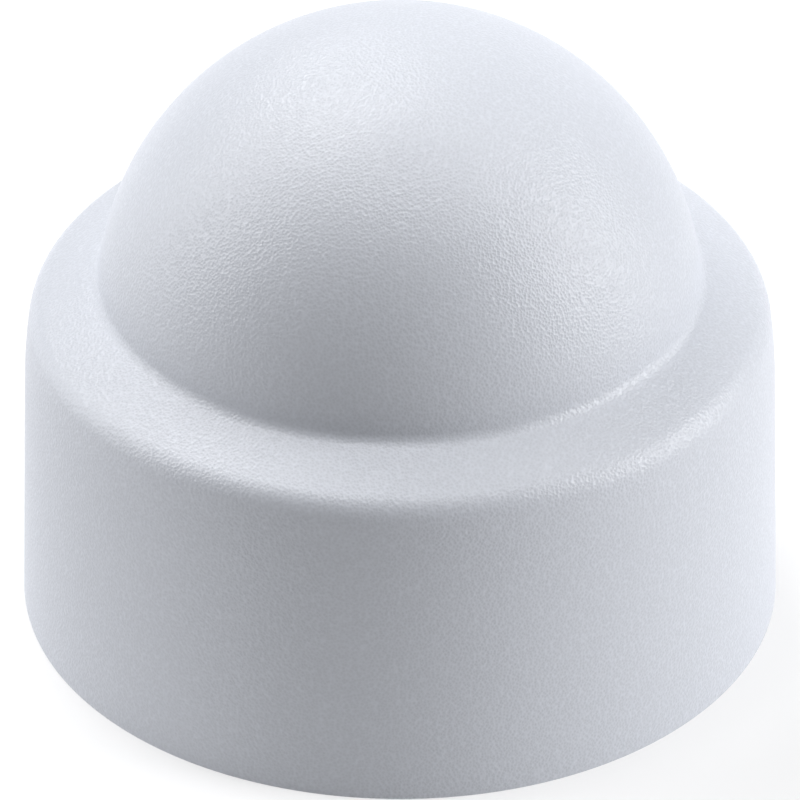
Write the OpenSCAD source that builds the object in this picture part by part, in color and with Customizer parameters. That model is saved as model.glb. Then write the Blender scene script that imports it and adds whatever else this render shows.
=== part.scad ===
// Press-on cap for a hexagonal wheel nut, moulded in one piece from pale polyethylene.
// It stands on its rim: the origin is the middle of the rim, and +Z runs up through the dome.
// One flat of the socket faces +X. All sizes are in millimetres and degrees.

/* [Nut] */
// Width of the nut across its flats
nut_af = 19; // [14:0.5:30]
// Depth of the socket, from the rim to the face that the nut stops against
socket_depth = 10.5; // [7:0.5:16]

/* [Socket] */
// Gap between each flat of the nut and the socket, at the deep end
socket_gap = 0.1; // [0.05:0.05:0.5]
// Lean of the socket's flats, wider at the mouth, which lets the core draw out
socket_draft = 0.5; // [0.1:0.1:1.5]
// How much of each of the socket's corners is rounded off
corner_cut = 0.1; // [0.05:0.05:0.3]
// Radius of the crush rib on each flat
rib_r = 0.9; // [0.6:0.1:1.5]
// How far each crush rib stands in from its flat
rib_proud = 0.25; // [0.1:0.05:0.45]
// How far the lead-in at the mouth cuts outwards past the socket's corners
lead_in = 0.35; // [0.1:0.05:0.8]
// Lean of the lead-in from upright
lead_lean = 40; // [20:1:60]

/* [Walls] */
// Wall at the rim, outside the socket's corners
corner_wall = 1.65; // [1:0.05:3]
// Wall of the dome
dome_wall = 1.5; // [1:0.1:2.5]

/* [Skirt and shoulder] */
// Lean of the skirt's outside, narrower towards the shoulder
skirt_draft = 1.6; // [0.5:0.1:3]
// Radius of the slow curve in which the top of the skirt turns inwards
crown_r = 19; // [6:0.5:30]
// Angle through which that curve turns
crown_turn = 6.5; // [3:0.5:15]
// Radius of the edge between skirt and shoulder
edge_r = 1; // [0.4:0.05:1.5]
// Height of the shoulder's outer corner above the nut stop, before its edge is rounded
shoulder_rise = 0.5; // [0.2:0.05:2]
// Fall of the shoulder towards its edge
shoulder_slope = 27; // [15:1:40]

/* [Dome] */
// How far the dome's widest circle lies inside the rim's outside
dome_inset = 2.65; // [2.2:0.05:4]
// Height of the dome's centre above the nut stop
dome_rise = 0.5; // [0:0.05:1.5]
// Radius of the hollow between shoulder and dome
dome_fillet = 0.5; // [0.15:0.05:1]

/* [Hidden] */

// Facets to a full circle
$fn = 180;
// How far a cut runs past the face that it opens
past = 1;
// How far a rounded edge stands proud of the faces beside it, so that it crosses them cleanly
cross = 0.0005;

// The socket: half its width across flats at the nut stop and at the rim, and its corners there
flat_top = nut_af / 2 + socket_gap;
flat_rim = flat_top + socket_depth * tan(socket_draft);
corner_top = flat_top / cos(30) - corner_cut;
corner_rim = corner_top + socket_depth * tan(socket_draft);
lead_r = corner_rim + lead_in;

// The outside at the rim, the dome, and the hollow inside the dome
rim_r = corner_rim + corner_wall;
dome_r = rim_r - dome_inset;
dome_z = socket_depth + dome_rise;
hollow_r = dome_r - dome_wall;

// The outline's straight sides, as directions square to them and the corner where they would meet
skirt_n = [cos(skirt_draft), sin(skirt_draft)];
crown_n = [cos(skirt_draft + crown_turn), sin(skirt_draft + crown_turn)];
shoulder_n = [sin(shoulder_slope), cos(shoulder_slope)];
shoulder_z = socket_depth + shoulder_rise;
shoulder_corner = [rim_r - shoulder_z * tan(skirt_draft), shoulder_z];

// Centres of the edge's arc and of the crown's, each arc touching the side next to it and the other
edge_reach = shoulder_n * shoulder_corner - edge_r;
crown_reach = skirt_n * shoulder_corner - crown_r + (crown_r - edge_r) * (crown_n * skirt_n);
spread = shoulder_n[0] * skirt_n[1] - shoulder_n[1] * skirt_n[0];
edge_c = [
    edge_reach * skirt_n[1] - crown_reach * shoulder_n[1],
    crown_reach * shoulder_n[0] - edge_reach * skirt_n[0]
] / spread;
crown_c = edge_c - (crown_r - edge_r) * crown_n;

// Centre of the hollow round the dome's foot, and the direction from the dome's centre to it
foot_reach = shoulder_n * (shoulder_corner - [0, dome_z]) + dome_fillet;
foot_side = sqrt(pow(dome_r + dome_fillet, 2) - pow(foot_reach, 2));
foot_from_dome = foot_reach * shoulder_n + foot_side * [shoulder_n[1], -shoulder_n[0]];
foot_c = [0, dome_z] + foot_from_dome;
foot_n = foot_from_dome / norm(foot_from_dome);

// Skirt and shoulder with a flat cut across each rounded edge
module straight_sides() {
    inner_r = dome_r / 2;
    inner_z = shoulder_z + (shoulder_corner[0] - inner_r) * tan(shoulder_slope);
    polygon([
        [0, 0],
        [rim_r, 0],
        crown_c + crown_r * skirt_n,
        crown_c + crown_r * crown_n,
        edge_c + edge_r * shoulder_n,
        [inner_r, inner_z],
        [0, inner_z]
    ]);
}

// The slow curve at the top of the skirt, a piece of a large disc that starts inside the skirt
module crown() {
    below = [cos(skirt_draft - crown_turn), sin(skirt_draft - crown_turn)];
    start = crown_r - min(crown_r, rim_r) / 2;
    intersection() {
        translate(crown_c) circle(crown_r + cross);
        polygon([
            crown_c + start * below,
            crown_c + 2 * crown_r * below,
            crown_c + 2 * crown_r * crown_n,
            crown_c + start * crown_n
        ]);
    }
}

// The fillet round the dome's foot: a triangle that reaches into shoulder and dome, hollowed by a disc
module foot_fillet() {
    difference() {
        polygon([foot_c, foot_c - 2 * dome_fillet * shoulder_n, foot_c - 2 * dome_fillet * foot_n]);
        translate(foot_c) circle(dome_fillet + cross);
    }
}

// The outside of the cap, filled in
module outside() {
    rotate_extrude() {
        straight_sides();
        crown();
        // Twice as proud as the crown, so that these two cross cleanly as well
        translate(edge_c) circle(edge_r + 2 * cross);
    }
    rotate_extrude() foot_fillet();
    translate([0, 0, dome_z]) sphere(dome_r);
}

// A hexagon that narrows upwards: three tapered slabs that cross
module hexagon() {
    low_x = flat_rim + past * tan(socket_draft);
    intersection_for(turn = [0:60:120])
        rotate(turn)
            rotate([90, 0, 0])
                linear_extrude(4 * flat_rim, center = true)
                    polygon([
                        [-low_x, -past],
                        [low_x, -past],
                        [flat_top, socket_depth],
                        [-flat_top, socket_depth]
                    ]);
}

// A half-round rib on the socket's +X flat, leaning with it
module crush_rib() {
    translate([flat_rim + rib_r - rib_proud, 0, 0])
        rotate([0, -socket_draft, 0])
            translate([0, 0, -2 * past])
                cylinder(h = socket_depth + 4 * past, r = rib_r);
}

// The space that the nut takes, less the ribs
module nut_space() {
    difference() {
        intersection() {
            hexagon();
            translate([0, 0, -past])
                cylinder(
                    h = socket_depth + 2 * past,
                    r1 = corner_rim + past * tan(socket_draft),
                    r2 = corner_top - past * tan(socket_draft)
                );
        }
        for (turn = [0:60:300]) rotate(turn) crush_rib();
    }
}

// The cone at the mouth that guides the nut in, and bevels the ribs' ends
module mouth() {
    mouth_h = (lead_r - flat_top + 2 * rib_proud) / tan(lead_lean);
    translate([0, 0, -past])
        cylinder(
            h = mouth_h + past,
            r1 = lead_r + past * tan(lead_lean),
            r2 = lead_r - mouth_h * tan(lead_lean)
        );
}

// The round hollow for the end of the stud, with the dome's own centre, so that the wall is even
module stud_space() {
    rotate_extrude() {
        translate([0, dome_z])
            intersection() {
                circle(hollow_r);
                square(hollow_r);
            }
        translate([0, socket_depth - past]) square([hollow_r, dome_rise + past]);
    }
}

// The whole cap, one moulding
module cap() {
    color("gainsboro")
        difference() {
            outside();
            nut_space();
            mouth();
            stud_space();
        }
}

cap();
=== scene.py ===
"""Lug nut cap: a press-on cap for a hexagonal wheel nut, one moulding in pale polyethylene.

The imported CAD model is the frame. The cap is turned and moulded again here as one fine closed mesh
with the same sizes, and gets its grained, slightly waxy finish, a pale floor and soft studio light.
"""

import math

import bpy
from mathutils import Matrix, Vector


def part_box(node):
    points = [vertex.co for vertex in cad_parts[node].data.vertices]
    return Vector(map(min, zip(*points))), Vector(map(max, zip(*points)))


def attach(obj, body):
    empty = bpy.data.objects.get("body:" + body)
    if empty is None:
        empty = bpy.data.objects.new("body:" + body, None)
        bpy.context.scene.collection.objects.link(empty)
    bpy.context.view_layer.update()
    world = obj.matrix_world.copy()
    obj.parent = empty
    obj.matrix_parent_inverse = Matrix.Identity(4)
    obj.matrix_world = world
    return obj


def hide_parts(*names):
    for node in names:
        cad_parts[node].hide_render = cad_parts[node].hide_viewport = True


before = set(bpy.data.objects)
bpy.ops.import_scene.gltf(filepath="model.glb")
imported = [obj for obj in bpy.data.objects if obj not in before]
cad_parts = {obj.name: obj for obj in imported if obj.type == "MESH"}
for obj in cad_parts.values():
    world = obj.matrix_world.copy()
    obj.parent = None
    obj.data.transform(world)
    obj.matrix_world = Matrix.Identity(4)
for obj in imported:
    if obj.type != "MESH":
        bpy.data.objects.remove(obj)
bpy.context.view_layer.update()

bl_info = {
    "name": "Lug nut cap",
    "version": (1, 0, 0),
    "blender": (4, 5, 0),
    "location": "3D Viewport > Sidebar > Nut cap",
    "description": "Builds a moulded wheel nut cap with its grain, and the studio round it",
    "category": "Object",
}

# The CAD cap's far corner, which gives the rim's radius and the dome's top
NODE_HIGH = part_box("cap")[1]
MM = 0.001
# Sides of the socket, and of the whole cap's pattern
SIDES = 6
# Half of the angle that one side takes round the axis
HALF_SIDE = math.pi / SIDES
# Points closer than this are one point
WELD = 2e-7
# The attribute that marks the mouth, the socket and the hollow
INSIDE = "inside"
# The socket of a node tree that takes each kind of number
SOCKETS = {"FLOAT": "NodeSocketFloat", "INT": "NodeSocketInt"}
# A colour Mix node's factor, two colours and result, by number as their names aren't theirs alone
MIX_FACTOR, MIX_FIRST, MIX_SECOND, MIX_RESULT = 0, 6, 7, 2
# Octaves of the grain's and the patches' noise, and how much each finer octave of the grain counts
NOISE_OCTAVES = 2.0
GRAIN_NOISE_FALL = 0.6
# The value that noise varies round
NOISE_MIDDLE = 0.5
# Corners of the round floor
FLOOR_CORNERS = 64
# Nearest distance that the camera sees
NEAR_CLIP = 10 * MM


def length(label, text, value):
    """A size in metres."""
    return bpy.props.FloatProperty(
        name=label,
        description=text,
        default=value,
        min=0,
        precision=6,
        subtype="DISTANCE",
        unit="LENGTH",
    )


def angle(label, text, degrees):
    """An angle, shown in degrees."""
    return bpy.props.FloatProperty(
        name=label,
        description=text,
        default=math.radians(degrees),
        subtype="ANGLE",
        unit="ROTATION",
    )


def count(label, text, value):
    """How many faces a stretch of the outline or a side of the socket gets."""
    return bpy.props.IntProperty(name=label, description=text, default=value, min=1)


def share(label, text, value):
    """A share between nothing and all."""
    return bpy.props.FloatProperty(
        name=label, description=text, default=value, min=0, max=1, subtype="FACTOR"
    )


def brightness(label, text, value):
    """A brightness, where 1 is white in the picture."""
    return bpy.props.FloatProperty(name=label, description=text, default=value, min=0)


def colour(label, text, value):
    """A colour."""
    return bpy.props.FloatVectorProperty(
        name=label, description=text, default=value, min=0, max=1, subtype="COLOR"
    )


class CapSizes(bpy.types.PropertyGroup):
    """The cap's own sizes, as the CAD part has them."""

    rim_r: length("Rim radius", "Outside of the skirt where the cap stands", NODE_HIGH.x)
    skirt_draft: angle("Skirt draft", "Lean of the skirt's outside", 1.6)
    crown_r: length("Crown radius", "Slow curve at the top of the skirt", 19 * MM)
    crown_turn: angle("Crown turn", "Angle through which that curve turns", 6.5)
    edge_r: length("Edge radius", "Edge between skirt and shoulder", 1 * MM)
    corner_z: length("Shoulder height", "Where skirt and shoulder would meet", 11 * MM)
    shoulder_slope: angle("Shoulder slope", "Fall of the shoulder to its edge", 27)
    dome_fillet: length("Dome fillet", "Hollow round the dome's foot", 0.5 * MM)
    dome_z: length("Dome centre", "Height of the dome's centre", 11 * MM)
    dome_r: length("Dome radius", "Outside of the dome", NODE_HIGH.z - 11 * MM)
    hollow_r: length("Hollow radius", "Inside of the dome", NODE_HIGH.z - 12.5 * MM)
    rim_edge: length("Rim edge", "Tiny radius on the rim's outer edge", 0.03 * MM)
    socket_depth: length("Socket depth", "From the rim to the nut stop", 10.5 * MM)
    socket_draft: angle("Socket draft", "Lean of the socket's flats", 0.5)
    flat_stop: length("Socket flat", "From the axis to a flat at the nut stop", 9.6 * MM)
    corner_cut: length("Corner cut", "How much of each socket corner is rounded off", 0.1 * MM)
    rib_r: length("Rib radius", "Radius of the crush rib on each flat", 0.9 * MM)
    rib_proud: length("Rib height", "How far a crush rib stands in from its flat", 0.25 * MM)
    lead_in: length("Lead-in", "How far the mouth's cone cuts past the socket's corners", 0.35 * MM)
    lead_lean: angle("Lead-in lean", "Lean of that cone from upright", 40)


class CapMesh(bpy.types.PropertyGroup):
    """How fine the cap's mesh is."""

    rib_columns: count("Rib columns", "Columns over half of a rib", 7)
    flat_columns: count("Flat columns", "Columns over half of a flat, beside the rib", 20)
    corner_columns: count("Corner columns", "Columns over half of a socket corner", 2)
    dome_rows: count("Dome rows", "Rows from the dome's top to its foot", 60)
    hollow_rows: count("Hollow rows", "Rows from the nut stop to the hollow's top", 36)
    wall_rows: count("Wall rows", "Rows up the skirt, and up the socket", 16)
    round_rows: count("Round rows", "Rows round an edge or a fillet", 8)
    flat_rows: count("Flat rows", "Rows across the shoulder, rim, mouth and nut stop", 6)


class Wire:
    """An output of a node, which takes part in sums as a number does."""

    def __init__(self, socket):
        self.socket = socket
        self.tree = socket.id_data

    @staticmethod
    def node(tree, kind, sockets=None, output=0, **settings):
        """Adds a node, its settings first, then its sockets' values or links. Returns an output."""
        made = tree.nodes.new(kind)
        for name, value in settings.items():
            setattr(made, name, value)
        for name, value in (sockets or {}).items():
            socket = made.inputs[name]
            if isinstance(value, Wire):
                tree.links.new(value.socket, socket)
            else:
                socket.default_value = value
        return Wire(made.outputs[output])

    def maths(self, operation, *values):
        """A Math node on this value and others."""
        sockets = dict(enumerate((self, *values)))
        return Wire.node(self.tree, "ShaderNodeMath", sockets, operation=operation)

    def __add__(self, other):
        return self.maths("ADD", other)

    def __sub__(self, other):
        return self.maths("SUBTRACT", other)

    def __mul__(self, other):
        return self.maths("MULTIPLY", other)

    def __truediv__(self, other):
        return self.maths("DIVIDE", other)

    def __rsub__(self, other):
        return (self * -1) + other

    __radd__ = __add__
    __rmul__ = __mul__

    def sin(self):
        return self.maths("SINE")

    def cos(self):
        return self.maths("COSINE")

    def tan(self):
        return self.maths("TANGENT")

    def sqrt(self):
        return self.maths("SQRT")

    def atan2(self, other):
        return self.maths("ARCTAN2", other)

    def between_0_and_1(self):
        return Wire.node(self.tree, "ShaderNodeClamp", {"Value": self})

    def eased(self, strength=0.75):
        """The same run from 0 to 1, slower at both ends, so that rows lie closer at an edge."""
        return self - (self * math.tau).sin() * (strength / math.tau)


def numbers(group):
    """The numbers and colours of a property group, each with its key."""
    return [(key, prop) for key, prop in group.bl_rna.properties.items() if prop.type in SOCKETS]


def tree_with_inputs(name, groups):
    """A geometry tree with an input for each number in the property groups, and each as a Wire."""
    tree = bpy.data.node_groups.new(name, "GeometryNodeTree")
    tree.is_modifier = True
    labels = {}
    for group in groups:
        for key, prop in numbers(group):
            tree.interface.new_socket(prop.name, in_out="INPUT", socket_type=SOCKETS[prop.type])
            labels[key] = prop.name
    tree.interface.new_socket("Finish", in_out="INPUT", socket_type="NodeSocketMaterial")
    tree.interface.new_socket("Geometry", in_out="OUTPUT", socket_type="NodeSocketGeometry")
    source = tree.nodes.new("NodeGroupInput")
    inputs = {key: Wire(source.outputs[label]) for key, label in labels.items()}
    inputs["finish"] = Wire(source.outputs["Finish"])
    return tree, inputs


def set_inputs(modifier, groups, finish):
    """Gives the modifier its sizes, each by the identifier of its socket."""
    values = {"Finish": finish}
    for group in groups:
        values.update({prop.name: getattr(group, key) for key, prop in numbers(group)})
    for item in modifier.node_group.interface.items_tree:
        if item.in_out == "INPUT":
            modifier[item.identifier] = values[item.name]


def arc(run, middle, radius, start, end):
    """Radius and height along an arc of the outline, from the angle start to the angle end."""
    turn = start + (end - start) * run
    return middle[0] + turn.cos() * radius, middle[1] + turn.sin() * radius


def line(run, start, end):
    """Radius and height along a straight stretch of the outline."""
    return start[0] + (end[0] - start[0]) * run, start[1] + (end[1] - start[1]) * run


def outside_outline(size, run):
    """The outline from the dome's top to the rim's outer edge, worked out as in the CAD part.

    Returns each stretch as its rows and its radius and height, and the radius where the flat rim
    starts.
    """
    right = math.pi / 2
    # The directions out of the skirt, out of the crown's upper end and out of the shoulder
    skirt = size["skirt_draft"].cos(), size["skirt_draft"].sin()
    crown_angle = size["skirt_draft"] + size["crown_turn"]
    crown = crown_angle.cos(), crown_angle.sin()
    shoulder = size["shoulder_slope"].sin(), size["shoulder_slope"].cos()
    corner = size["rim_r"] - size["corner_z"] * size["skirt_draft"].tan(), size["corner_z"]

    # The edge's middle is where two lines cross, each given by its distance from the origin: one
    # lies the edge's radius under the shoulder, the other as far inside the skirt as the crown's
    # arc needs
    edge_reach = shoulder[0] * corner[0] + shoulder[1] * corner[1] - size["edge_r"]
    crown_less = size["crown_r"] - size["edge_r"]
    crown_reach = skirt[0] * corner[0] + skirt[1] * corner[1] - size["crown_r"]
    crown_reach = crown_reach + crown_less * size["crown_turn"].cos()
    spread = shoulder[0] * skirt[1] - shoulder[1] * skirt[0]
    edge_middle = (
        (edge_reach * skirt[1] - crown_reach * shoulder[1]) / spread,
        (crown_reach * shoulder[0] - edge_reach * skirt[0]) / spread,
    )
    crown_middle = edge_middle[0] - crown_less * crown[0], edge_middle[1] - crown_less * crown[1]

    # The fillet's middle lies the fillet's radius above the shoulder and outside the dome
    foot_reach = shoulder[0] * corner[0] + shoulder[1] * (corner[1] - size["dome_z"])
    foot_reach = foot_reach + size["dome_fillet"]
    foot_long = size["dome_r"] + size["dome_fillet"]
    foot_side = (foot_long * foot_long - foot_reach * foot_reach).sqrt()
    foot_x = foot_reach * shoulder[0] + foot_side * shoulder[1]
    foot_z = foot_reach * shoulder[1] - foot_side * shoulder[0]
    foot_angle = foot_z.atan2(foot_x)
    foot_middle = foot_x, foot_z + size["dome_z"]

    tiny = size["rim_edge"]
    rim_x = (skirt[0] * size["rim_r"] - tiny - skirt[1] * tiny) / skirt[0]
    shoulder_top = (
        foot_middle[0] - size["dome_fillet"] * shoulder[0],
        foot_middle[1] - size["dome_fillet"] * shoulder[1],
    )
    shoulder_end = (
        edge_middle[0] + size["edge_r"] * shoulder[0],
        edge_middle[1] + size["edge_r"] * shoulder[1],
    )
    skirt_top = (
        crown_middle[0] + size["crown_r"] * skirt[0],
        crown_middle[1] + size["crown_r"] * skirt[1],
    )
    skirt_end = rim_x + tiny * skirt[0], tiny + tiny * skirt[1]
    shoulder_angle = right - size["shoulder_slope"]
    zero = size["rim_r"] * 0
    stretches = [
        (
            size["dome_rows"],
            arc(run, (zero, size["dome_z"]), size["dome_r"], zero + right, foot_angle),
        ),
        (
            size["round_rows"],
            arc(
                run,
                foot_middle,
                size["dome_fillet"],
                foot_angle + math.pi,
                shoulder_angle + math.pi,
            ),
        ),
        (size["flat_rows"], line(run, shoulder_top, shoulder_end)),
        (size["round_rows"], arc(run, edge_middle, size["edge_r"], shoulder_angle, crown_angle)),
        (
            size["round_rows"],
            arc(run, crown_middle, size["crown_r"], crown_angle, size["skirt_draft"]),
        ),
        (size["wall_rows"], line(run.eased(), skirt_top, skirt_end)),
        (size["flat_rows"], arc(run, (rim_x, tiny), tiny, size["skirt_draft"], zero - right)),
    ]
    return stretches, rim_x


def socket_wall(size, column, height):
    """Where a sixth of the socket's wall lies at a height: its direction, and how far out.

    From the middle of the flat, half a crush rib, then the flat, then half of the rounded corner.
    """
    lean = size["socket_draft"].tan()
    rise = size["socket_depth"] - height
    flat = size["flat_stop"] + rise * lean
    corner = size["flat_stop"] / math.cos(HALF_SIDE) - size["corner_cut"] + rise * lean
    corner_y = (corner * corner - flat * flat).sqrt()
    corner_turn = corner_y.atan2(flat)
    rib_back = size["rib_r"] - size["rib_proud"]
    rib_foot = (size["rib_r"] * size["rib_r"] - rib_back * rib_back).sqrt()

    half = size["rib_columns"] + size["flat_columns"] + size["corner_columns"]
    place = column.maths("ABSOLUTE") * half
    on_rib = (place / size["rib_columns"]).between_0_and_1()
    on_flat = ((place - size["rib_columns"]) / size["flat_columns"]).between_0_and_1()
    past_flat = place - size["rib_columns"] - size["flat_columns"]
    on_corner = (past_flat / size["corner_columns"]).between_0_and_1()

    rib_turn = rib_foot.atan2(rib_back) * (on_rib * (math.pi / 2)).sin()
    turn = corner_turn + (HALF_SIDE - corner_turn) * on_corner
    x = flat + rib_back - size["rib_r"] * rib_turn.cos() + corner * (turn.cos() - corner_turn.cos())
    y = size["rib_r"] * rib_turn.sin() + (corner_y - rib_foot) * on_flat.eased()
    y = y + corner * (turn.sin() - corner_turn.sin())
    y = y * column.maths("SIGN")
    return y.atan2(x), (x * x + y * y).sqrt()


def inside_outline(size, column, run, rim_x):
    """The stretches from the flat rim through the mouth, the socket and the hollow to its top.

    Returns each as its rows, its radius and height, and its direction. The mouth's cone ends where
    it meets the socket's wall, which is higher on a rib than in a corner. The second result is the
    direction at the rim, which the outside keeps to.
    """
    step = run.eased()
    cone = size["lead_lean"].tan()
    rim_turn, rim_wall = socket_wall(size, column, run * 0)
    corner = size["flat_stop"] / math.cos(HALF_SIDE) - size["corner_cut"]
    mouth_r = corner + size["socket_depth"] * size["socket_draft"].tan() + size["lead_in"]
    # The wall leans so little that the second guess at the height where the cone meets it is enough
    nearly = (mouth_r - rim_wall) / cone
    meeting = (mouth_r - socket_wall(size, column, nearly)[1]) / cone
    cone_turn, cone_r = socket_wall(size, column, meeting)
    wall_z = meeting + (size["socket_depth"] - meeting) * step
    wall_turn, wall_r = socket_wall(size, column, wall_z)
    stop_turn, stop_r = socket_wall(size, column, size["socket_depth"])
    hollow_foot = size["hollow_r"], size["socket_depth"]
    zero = size["rim_r"] * 0
    return [
        (size["flat_rows"], line(step, (rim_x, zero), (mouth_r, zero)), rim_turn),
        (
            size["flat_rows"],
            line(step, (mouth_r, zero), (cone_r, meeting)),
            rim_turn + (cone_turn - rim_turn) * step,
        ),
        (size["wall_rows"], (wall_r, wall_z), wall_turn),
        (
            size["flat_rows"],
            line(step, (stop_r, size["socket_depth"]), hollow_foot),
            stop_turn,
        ),
        (
            size["flat_rows"],
            line(step, hollow_foot, (size["hollow_r"], size["dome_z"])),
            stop_turn,
        ),
        (
            size["hollow_rows"],
            arc(run, (zero, size["dome_z"]), size["hollow_r"], zero, zero + math.pi / 2),
            stop_turn,
        ),
    ], rim_turn


def build_cap_tree():
    """The tree that turns a sixth of the cap, outside and inside, and sets six round the axis."""
    tree, size = tree_with_inputs("moulded cap", (CapSizes, CapMesh))
    # Each stretch starts as a flat grid from -0.5 to 0.5. Its columns become a run from 1 to -1
    # over a sixth of a turn, and its rows a run from 0 to 1 along the outline.
    spot = {"Vector": Wire.node(tree, "GeometryNodeInputPosition")}
    column = Wire.node(tree, "ShaderNodeSeparateXYZ", spot, output="X") * -2
    run = Wire.node(tree, "ShaderNodeSeparateXYZ", spot, output="Y") + 0.5
    outside, rim_x = outside_outline(size, run)
    inside, rim_turn = inside_outline(size, column, run, rim_x)
    stretches = [(rows, place, rim_turn, 0.0) for rows, place in outside]
    stretches += [(rows, place, turn, 1.0) for rows, place, turn in inside]
    columns = (size["rib_columns"] + size["flat_columns"] + size["corner_columns"]) * 2 + 1

    joined = tree.nodes.new("GeometryNodeJoinGeometry")
    for rows, (radius, height), turn, hidden in stretches:
        sheet = {"Size X": 1.0, "Size Y": 1.0, "Vertices X": columns, "Vertices Y": rows + 1}
        grid = Wire.node(tree, "GeometryNodeMeshGrid", sheet)
        spread = {"X": radius * turn.cos(), "Y": radius * turn.sin(), "Z": height}
        point = Wire.node(tree, "ShaderNodeCombineXYZ", spread)
        placed = Wire.node(tree, "GeometryNodeSetPosition", {"Geometry": grid, "Position": point})
        marked = Wire.node(
            tree,
            "GeometryNodeStoreNamedAttribute",
            {"Geometry": placed, "Name": INSIDE, "Value": hidden},
            data_type="FLOAT",
            domain="POINT",
        )
        tree.links.new(marked.socket, joined.inputs[0])

    around = Wire.node(tree, "GeometryNodeMeshLine", {"Count": SIDES, "Offset": (0.0, 0.0, 0.0)})
    turned = Wire.node(tree, "GeometryNodeInputIndex") * (2 * HALF_SIDE)
    rotation = Wire.node(tree, "ShaderNodeCombineXYZ", {"Z": turned})
    six = Wire.node(
        tree,
        "GeometryNodeInstanceOnPoints",
        {"Points": around, "Instance": Wire(joined.outputs[0]), "Rotation": rotation},
    )
    real = Wire.node(tree, "GeometryNodeRealizeInstances", {"Geometry": six})
    closed = Wire.node(tree, "GeometryNodeMergeByDistance", {"Geometry": real, "Distance": WELD})
    smooth = Wire.node(tree, "GeometryNodeSetShadeSmooth", {"Geometry": closed})
    coat = {"Geometry": smooth, "Material": size["finish"]}
    finished = Wire.node(tree, "GeometryNodeSetMaterial", coat)
    tree.links.new(finished.socket, tree.nodes.new("NodeGroupOutput").inputs["Geometry"])
    return tree


class CapFinish(bpy.types.PropertyGroup):
    """The look of the polyethylene: a body that spreads the light, under a shiny grained skin."""

    colour: colour("Colour", "The polyethylene's own colour", (0.499, 0.518, 0.563))
    skin: share("Skin", "Share of the surface that shines", 0.4)
    skin_ior: bpy.props.FloatProperty(
        name="Skin IOR", description="How strongly the skin shines", default=1.92, min=1
    )
    roughness: share("Roughness", "How matt the skin is between the grain's slopes", 0.33)
    core_roughness: share("Core roughness", "How matt the inside is, where the steel core was", 0.3)
    grain: length("Grain", "Width of one cell of the mould's spark-eroded grain", 0.1 * MM)
    grain_depth: length("Grain depth", "Height of the grain", 0.025 * MM)
    body_grain: share("Body grain", "Share of the grain's height that shows in the body", 0.3)
    grain_swell: share("Grain swell", "How much slow swells count beside the grain's cells", 0.5)
    # Painted glints: the body's colour is painted paler where the grain stands high and darker in
    # its hollows, in place of the grain's small glints
    painted_glints: share("Painted glints", "How much paler the grain is at its crests", 0.16)
    core_grain: share("Core grain", "Share of the grain's height that the inside has", 0.3)
    patch: length("Patch", "Width of the patches that are a little more or less matt", 2.5 * MM)
    patch_change: share("Patch change", "How much the roughness changes between patches", 0.06)


class Studio(bpy.types.PropertyGroup):
    """The camera, the floor and the light."""

    camera_distance: length("Camera distance", "From the camera to where it aims", 273.5 * MM)
    camera_elevation: angle("Camera elevation", "How far the camera looks down", 33.644)
    aim_height: length("Aim height", "Height on the cap's axis that the camera aims at", 7.17 * MM)
    lens: bpy.props.FloatProperty(
        name="Lens", description="Focal length", default=368.4, unit="CAMERA"
    )
    floor_r: length("Floor radius", "How far the pale floor reaches", 6)
    floor_colour: colour("Floor colour", "The pale floor's own colour", (0.36, 0.36, 0.365))
    floor_roughness: share("Floor roughness", "How matt the floor is", 0.9)
    # Painted glow: the floor gives off light round the cap, which lightens the cap's shadow on it
    # and fades out between the two distances below
    floor_glow: brightness("Floor glow", "Light that the floor gives off round the cap", 0.56)
    glow_reach: length("Glow reach", "From the axis to where the glow starts to fade", 42 * MM)
    glow_end: length("Glow end", "From the axis to where the glow ends", 90 * MM)
    light_distance: length("Light distance", "From the cap to each soft light", 1.8)
    right_turn: angle("Right light turn", "Where the right light stands, round from the right", -3)
    right_elevation: angle("Right light elevation", "How high the right light stands", 24.6)
    right_width: length("Right light width", "Width of the right light", 0.97)
    right_height: length("Right light height", "Height of the right light", 1.57)
    right_light: brightness("Right light", "Brightness of the right light's face", 7.7)
    left_turn: angle("Left light turn", "Where the left light stands, round from the right", 169)
    left_elevation: angle("Left light elevation", "How high the left light stands", 29.9)
    left_width: length("Left light width", "Width of the left light", 0.74)
    left_height: length("Left light height", "Height of the left light", 1.96)
    left_light: brightness("Left light", "Brightness of the left light's face", 5.3)
    top_turn: angle("Top light turn", "Where the top light stands, round from the right", 80)
    top_elevation: angle("Top light elevation", "How high the top light stands", 88)
    top_width: length("Top light width", "Width of the top light", 0.84)
    top_height: length("Top light height", "Height of the top light", 0.39)
    top_light: brightness("Top light", "Brightness of the top light's face", 13.4)
    back_turn: angle("Back light turn", "Where the back light stands, round from the right", 121)
    back_elevation: angle("Back light elevation", "How high the back light stands", 48)
    back_width: length("Back light width", "Width of the back light", 1.1)
    back_height: length("Back light height", "Height of the back light", 0.28)
    back_light: brightness("Back light", "Brightness of the back light's face", 19.2)
    fill: brightness("Fill", "Brightness of the room round the studio", 0.0)


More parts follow.
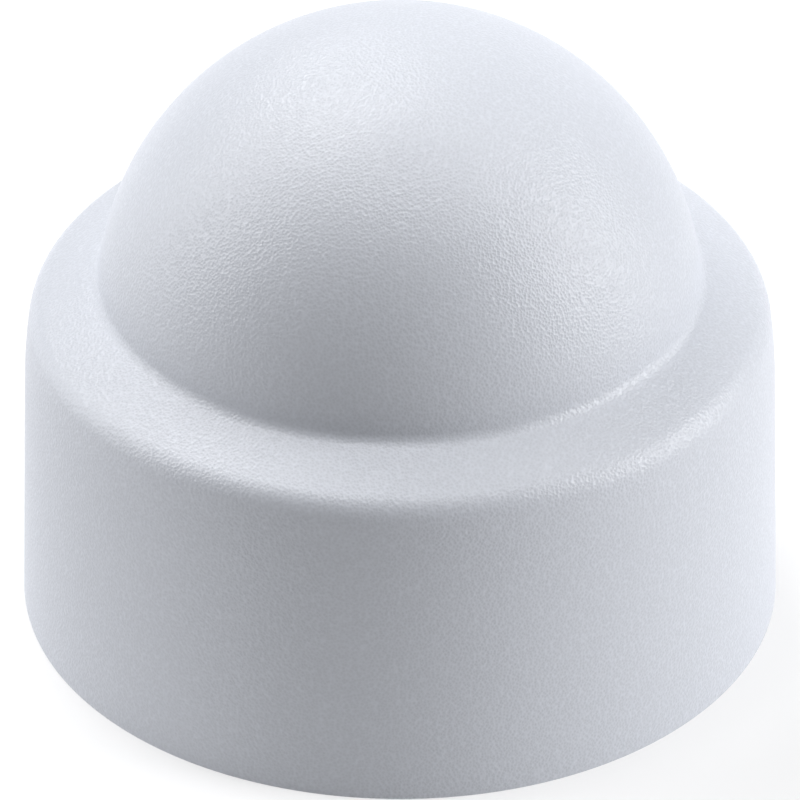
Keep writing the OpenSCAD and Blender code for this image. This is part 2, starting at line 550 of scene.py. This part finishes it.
def polyethylene(finish):
    """Pale polyethylene from a spark-eroded mould, with a smoother inside from a polished core.

    Both layers have the same grain. The skin's is as deep as the mould's, for its small glints, and
    the body's is shallower, because light that comes out of the plastic has spread in it.
    """
    material = bpy.data.materials.new("pale_polyethylene")
    material.use_nodes = True
    tree = material.node_tree
    place = Wire.node(tree, "ShaderNodeTexCoord", output="Object")
    hidden = Wire.node(tree, "ShaderNodeAttribute", output="Fac", attribute_name=INSIDE)
    cells = {"Vector": place, "Scale": 1 / finish.grain}
    swells = {**cells, "Detail": NOISE_OCTAVES, "Roughness": GRAIN_NOISE_FALL}
    swell = Wire.node(tree, "ShaderNodeTexNoise", swells)
    craters = Wire.node(tree, "ShaderNodeTexVoronoi", cells, output="Distance")
    height = (swell * finish.grain_swell + craters) * (1 - hidden * (1 - finish.core_grain))
    spots = {"Vector": place, "Scale": 1 / finish.patch, "Detail": NOISE_OCTAVES}
    patches = Wire.node(tree, "ShaderNodeTexNoise", spots)
    rough = finish.roughness + (finish.core_roughness - finish.roughness) * hidden
    rough = rough + (patches - NOISE_MIDDLE) * finish.patch_change

    depths = (finish.grain_depth, finish.grain_depth * finish.body_grain)
    deep, shallow = (
        Wire.node(tree, "ShaderNodeBump", {"Height": height, "Strength": 1.0, "Distance": depth})
        for depth in depths
    )
    # The black skin covers its share of the body's colour, so the body is that much paler
    # The colour is painted paler where the grain stands high and darker in its hollows: painted
    # glints, in place of the grain's small glints
    hollow, painted_glint_colour = (
        (*(channel * shade / (1 - finish.skin) for channel in finish.colour), 1)
        for shade in (1 - finish.painted_glints / 2, 1 + finish.painted_glints / 2)
    )
    painted_glint_shades = {MIX_FACTOR: craters, MIX_FIRST: hollow, MIX_SECOND: painted_glint_colour}
    paint = Wire.node(tree, "ShaderNodeMix", painted_glint_shades, output=MIX_RESULT, data_type="RGBA")
    body = {"Base Color": paint, "Roughness": 1.0, "Specular IOR Level": 0.0, "Normal": shallow}
    skin = {"Base Color": (0, 0, 0, 1), "Roughness": rough, "IOR": finish.skin_ior, "Normal": deep}
    layers = [Wire.node(tree, "ShaderNodeBsdfPrincipled", layer) for layer in (body, skin)]
    surface = Wire.node(tree, "ShaderNodeMixShader", dict(enumerate((finish.skin, *layers))))
    tree.links.new(surface.socket, tree.nodes["Material Output"].inputs["Surface"])
    tree.nodes.remove(tree.nodes["Principled BSDF"])
    return material


class NUTCAP_OT_cap(bpy.types.Operator):
    """Mould the cap, outside, mouth, socket and hollow, as one closed mesh"""

    bl_idname = "nutcap.cap"
    bl_label = "Moulded cap"

    def execute(self, context):
        scene = context.scene
        groups = (scene.cap_sizes, scene.cap_mesh)
        finish = polyethylene(scene.cap_finish)
        cap = bpy.data.objects.new("moulded_cap", bpy.data.meshes.new("moulded_cap"))
        cap.data.materials.append(finish)
        scene.collection.objects.link(cap)
        modifier = cap.modifiers.new("moulding", "NODES")
        modifier.node_group = build_cap_tree()
        set_inputs(modifier, groups, finish)
        evaluated = cap.evaluated_get(context.evaluated_depsgraph_get())
        cap_mesh = bpy.data.meshes.new_from_object(evaluated)
        if not cap_mesh.polygons:
            raise RuntimeError("The moulding made no faces")
        cap.modifiers.remove(modifier)
        cap.data = cap_mesh
        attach(cap, "root")
        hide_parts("cap")
        return {"FINISHED"}


def floor_paint(studio):
    """The pale floor's paint, with a painted glow round the cap that lightens the cap's shadow on
    the floor and fades away further out.
    """
    material = bpy.data.materials.new("pale_floor")
    material.use_nodes = True
    tree = material.node_tree
    place = Wire.node(tree, "ShaderNodeTexCoord", output="Object")
    away = Wire.node(tree, "ShaderNodeVectorMath", {0: place}, output="Value", operation="LENGTH")
    fade = {"Value": away, "From Min": studio.glow_end, "From Max": studio.glow_reach}
    glow = Wire.node(tree, "ShaderNodeMapRange", fade, interpolation_type="SMOOTHSTEP")
    surface = tree.nodes["Principled BSDF"].inputs
    surface["Base Color"].default_value = (*studio.floor_colour, 1)
    surface["Roughness"].default_value = studio.floor_roughness
    surface["Emission Strength"].default_value = studio.floor_glow
    tree.links.new(glow.socket, surface["Emission Color"])
    return material


def softbox(scene, name, distance, turn, elevation, width, height, light):
    """A rectangular soft light that faces the cap."""
    level = math.cos(elevation)
    away = Vector((level * math.cos(turn), level * math.sin(turn), math.sin(elevation)))
    lamp = bpy.data.lights.new(name, "AREA")
    lamp.shape = "RECTANGLE"
    lamp.size, lamp.size_y = width, height
    # The power of a flat lamp is pi times its brightness and its area
    lamp.energy = light * math.pi * width * height
    box = bpy.data.objects.new(name, lamp)
    box.location = away * distance
    box.rotation_euler = away.to_track_quat("Z", "Y").to_euler()
    scene.collection.objects.link(box)


class NUTCAP_OT_studio(bpy.types.Operator):
    """Set up the pale floor, the soft lights and the camera"""

    bl_idname = "nutcap.studio"
    bl_label = "Studio"

    def execute(self, context):
        scene = context.scene
        studio = scene.cap_studio
        floor_mesh = bpy.data.meshes.new("floor")
        points = [
            (studio.floor_r * math.cos(turn), studio.floor_r * math.sin(turn), 0)
            for turn in (math.tau * step / FLOOR_CORNERS for step in range(FLOOR_CORNERS))
        ]
        floor_mesh.from_pydata(points, [], [range(FLOOR_CORNERS)])
        floor_mesh.materials.append(floor_paint(studio))
        floor = bpy.data.objects.new("floor", floor_mesh)
        scene.collection.objects.link(floor)

        world = bpy.data.worlds.new("studio")
        world.use_nodes = True
        room = world.node_tree.nodes["Background"].inputs["Color"]
        room.default_value = (studio.fill, studio.fill, studio.fill, 1)
        scene.world = world
        for side in ("right", "left", "top", "back"):
            keys = ("turn", "elevation", "width", "height", "light")
            values = {key: getattr(studio, f"{side}_{key}") for key in keys}
            softbox(scene, side + "_softbox", studio.light_distance, **values)

        aim = Vector((0, 0, studio.aim_height))
        away = Vector((0, -math.cos(studio.camera_elevation), math.sin(studio.camera_elevation)))
        camera_data = bpy.data.cameras.new("camera")
        camera_data.lens = studio.lens
        camera_data.clip_start = NEAR_CLIP
        camera = bpy.data.objects.new("camera", camera_data)
        camera.location = aim + away * studio.camera_distance
        camera.rotation_euler = away.to_track_quat("Z", "Y").to_euler()
        scene.collection.objects.link(camera)
        scene.camera = camera
        scene.view_settings.view_transform = "Standard"
        return {"FINISHED"}


class NUTCAP_PT_panel(bpy.types.Panel):
    """The cap's sizes and finish, and the buttons that build it"""

    bl_idname = "NUTCAP_PT_panel"
    bl_label = "Nut cap"
    bl_space_type = "VIEW_3D"
    bl_region_type = "UI"
    bl_category = "Nut cap"

    def draw(self, context):
        for operator, groups in STEPS:
            box = self.layout.box()
            box.operator(operator.bl_idname)
            for name in groups:
                group = getattr(context.scene, name)
                for key, _ in numbers(group):
                    box.prop(group, key)


GROUPS = {"cap_sizes": CapSizes, "cap_mesh": CapMesh, "cap_finish": CapFinish, "cap_studio": Studio}
# Each button with the settings shown under it
STEPS = (
    (NUTCAP_OT_cap, ("cap_sizes", "cap_mesh", "cap_finish")),
    (NUTCAP_OT_studio, ("cap_studio",)),
)
CLASSES = (*GROUPS.values(), *(operator for operator, _ in STEPS), NUTCAP_PT_panel)


def register():
    """Adds the classes, and their settings to the scene."""
    for kind in CLASSES:
        bpy.utils.register_class(kind)
    for name, group in GROUPS.items():
        setattr(bpy.types.Scene, name, bpy.props.PointerProperty(type=group))


def unregister():
    """Takes away what register() adds."""
    for name in GROUPS:
        delattr(bpy.types.Scene, name)
    for kind in reversed(CLASSES):
        bpy.utils.unregister_class(kind)


def main():
    register()
    bpy.ops.nutcap.cap()
    bpy.ops.nutcap.studio()


if __name__ == "__main__":
    main()
